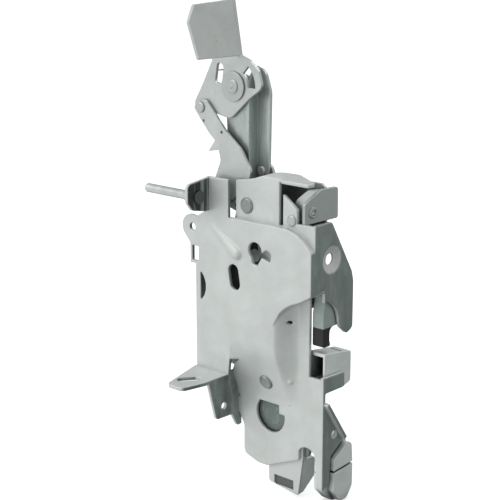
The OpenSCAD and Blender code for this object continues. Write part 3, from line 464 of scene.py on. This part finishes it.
def eased(node, material, edge):
    """A solid with its sharp edges taken off."""
    piece = copied(node, "_eased", material, join_flat_faces)
    bevel = piece.modifiers.new("ease", "BEVEL")
    bevel.width = edge
    bevel.segments = 2
    bevel.limit_method = "ANGLE"
    bevel.angle_limit = math.radians(32)
    bevel.use_clamp_overlap = True
    shading = piece.modifiers.new("shading", "WEIGHTED_NORMAL")
    shading.mode = "FACE_AREA"
    shading.weight = 60
    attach(piece, NODES[node]["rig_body"])
    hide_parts(node)


def wound(node):
    """A spring of round wire: the CAD spring's own mesh, smoothed, and not attached to a body. In the latch
    its coil lies between the leg that stays and the one that its lever takes.
    """
    piece = copied(node, "_round", WIRE, join_triangles)
    rounding = piece.modifiers.new("round", "SUBSURF")
    rounding.levels = 1
    rounding.render_levels = 1
    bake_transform(piece)
    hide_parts(node)


for material, slot, edge, nodes in FINISHES:
    for node in nodes:
        eased(node, material, edge)
for node, (joint, radius, moving, fixed) in SPRINGS.items():
    wound(node)


# Stage, light and camera

low, high = cad_box
centre = Vector([(low[i] + high[i]) / 2 for i in range(3)])

# The floor's profile from its flat middle outwards, as radius and height, its sides, and its distance
# below the part
FLOOR_PROFILE = [(0.6, 0.0), (2.0, 0.0), (3.0, 0.0), (3.6, 0.12), (4.1, 0.5), (4.4, 1.2), (4.5, 4.5)]
FLOOR_SIDES = 96
FLOOR_GAP = 0.0005

# What metal mirrors: the grey level below the horizon, and what lies over it in order. Each has the
# direction of its middle, the cosines where its soft edge starts and where it is full, and its level.
COOL_GREY = (0.98, 1.0, 0.99)
LOW_LEVEL = 0.07
SURROUNDINGS = {
    "above the horizon": ((0, 0, 1), -0.26, 0.06, 0.28),
    "back right": ((0.69, 0.71, 0.06), 0.84, 0.985, 0.62),
    "front left": ((-0.64, -0.72, -0.25), 0.15, 0.75, 0.82),
    "front right": ((0.82, -0.52, -0.22), 0.72, 0.95, 0.52),
    "ceiling": ((0, 0, 1), 0.35, 0.95, 0.85),
}

# Each soft lamp's place from the part's centre, its size in metres and its power in watts
SOFTBOXES = {
    "key": ((-0.5, -1.0, 1.0), (1.1, 1.1), 5.0),
    "fill": ((0.9, -0.9, 0.5), (0.8, 0.8), 0.8),
    "rim": ((0.2, 1.1, 0.9), (0.9, 0.6), 3.0),
}

CAMERA_PLACE = (0.43931, -0.55383, 0.18767)
CAMERA_AZIMUTH = math.radians(42)
CAMERA_ELEVATION = math.radians(14.5)
CAMERA_LENS = 93.6


def stage():
    """A pale floor that curves up into a backdrop far behind, on every side, so each view has one."""
    mesh = bpy.data.meshes.new("floor")
    shape = bmesh.new()
    angles = [2 * math.pi * side / FLOOR_SIDES for side in range(FLOOR_SIDES)]
    rings = [[shape.verts.new((radius * math.cos(angle), radius * math.sin(angle), height))
              for angle in angles] for radius, height in FLOOR_PROFILE]
    middle = shape.verts.new((0, 0, 0))
    for side in range(FLOOR_SIDES):
        after = (side + 1) % FLOOR_SIDES
        shape.faces.new((middle, rings[0][side], rings[0][after]))
        for inner, outer in zip(rings, rings[1:]):
            shape.faces.new((inner[side], outer[side], outer[after], inner[after]))
    shape.to_mesh(mesh)
    shape.free()
    mesh.shade_smooth()
    look = Look("pale_floor")
    pale = look.mix(look.noise(**FLOOR_SHADES), toned((0.90, 0.91, 0.91)), toned((0.93, 0.935, 0.935)))
    look.set("Base Color", pale)
    look.set("Roughness", 0.9)
    look.set("Specular IOR Level", 0.1)
    look.set("Emission Color", pale)
    look.set("Emission Strength", 0.55)
    mesh.materials.append(look.mat)
    floor = add_object("floor", mesh)
    floor.location = (centre.x, centre.y, low[Z] - FLOOR_GAP)
    floor.visible_glossy = False
    floor.visible_diffuse = False


def world():
    """A studio for metal to mirror: bright from the front left and above, dim low at the back."""
    studio = bpy.data.worlds.new("studio")
    studio.use_nodes = True
    tree = studio.node_tree
    tree.nodes.clear()
    background = tree.nodes.new("ShaderNodeBackground")
    output = tree.nodes.new("ShaderNodeOutputWorld")
    tree.links.new(background.outputs[0], output.inputs[0])
    direction = tree.nodes.new("ShaderNodeTexCoord").outputs["Generated"]
    colour = tree.nodes.new("ShaderNodeRGB").outputs[0]
    colour.default_value = toned(COOL_GREY, LOW_LEVEL)
    for middle, start, full, level in SURROUNDINGS.values():
        cosine = tree.nodes.new("ShaderNodeVectorMath")
        cosine.operation = "DOT_PRODUCT"
        cosine.inputs[1].default_value = Vector(middle).normalized()
        tree.links.new(direction, cosine.inputs[0])
        mask = tree.nodes.new("ShaderNodeMapRange")
        mask.interpolation_type = "SMOOTHSTEP"
        mask.inputs[1].default_value = start
        mask.inputs[2].default_value = full
        tree.links.new(cosine.outputs["Value"], mask.inputs[0])
        layer = tree.nodes.new("ShaderNodeMix")
        layer.data_type = "RGBA"
        tree.links.new(mask.outputs[0], layer.inputs[0])
        tree.links.new(colour, layer.inputs[6])
        layer.inputs[7].default_value = toned(COOL_GREY, level)
        colour = layer.outputs[2]
    tree.links.new(colour, background.inputs["Color"])
    bpy.context.scene.world = studio


def softbox(name, place, size, power):
    """A soft lamp that looks at the part's centre."""
    lamp = bpy.data.lights.new(name, "AREA")
    lamp.shape = "RECTANGLE"
    lamp.size, lamp.size_y = size
    lamp.energy = power
    obj = add_object(name, lamp)
    obj.location = centre + Vector(place)
    obj.rotation_euler = (-Vector(place)).to_track_quat("-Z", "Y").to_euler()


def camera():
    """The photo's view."""
    lens = bpy.data.cameras.new("camera")
    lens.lens = CAMERA_LENS
    lens.sensor_width = 36.0
    lens.clip_start = 0.01
    obj = add_object("camera", lens)
    obj.location = CAMERA_PLACE
    level = math.cos(CAMERA_ELEVATION)
    sight = Vector((-math.sin(CAMERA_AZIMUTH) * level, math.cos(CAMERA_AZIMUTH) * level,
                    -math.sin(CAMERA_ELEVATION)))
    obj.rotation_euler = sight.to_track_quat("-Z", "Y").to_euler()
    bpy.context.scene.camera = obj


stage()
world()
for name, (place, size, power) in SOFTBOXES.items():
    softbox(name, place, size, power)
camera()
bpy.context.scene.view_settings.view_transform = "Standard"
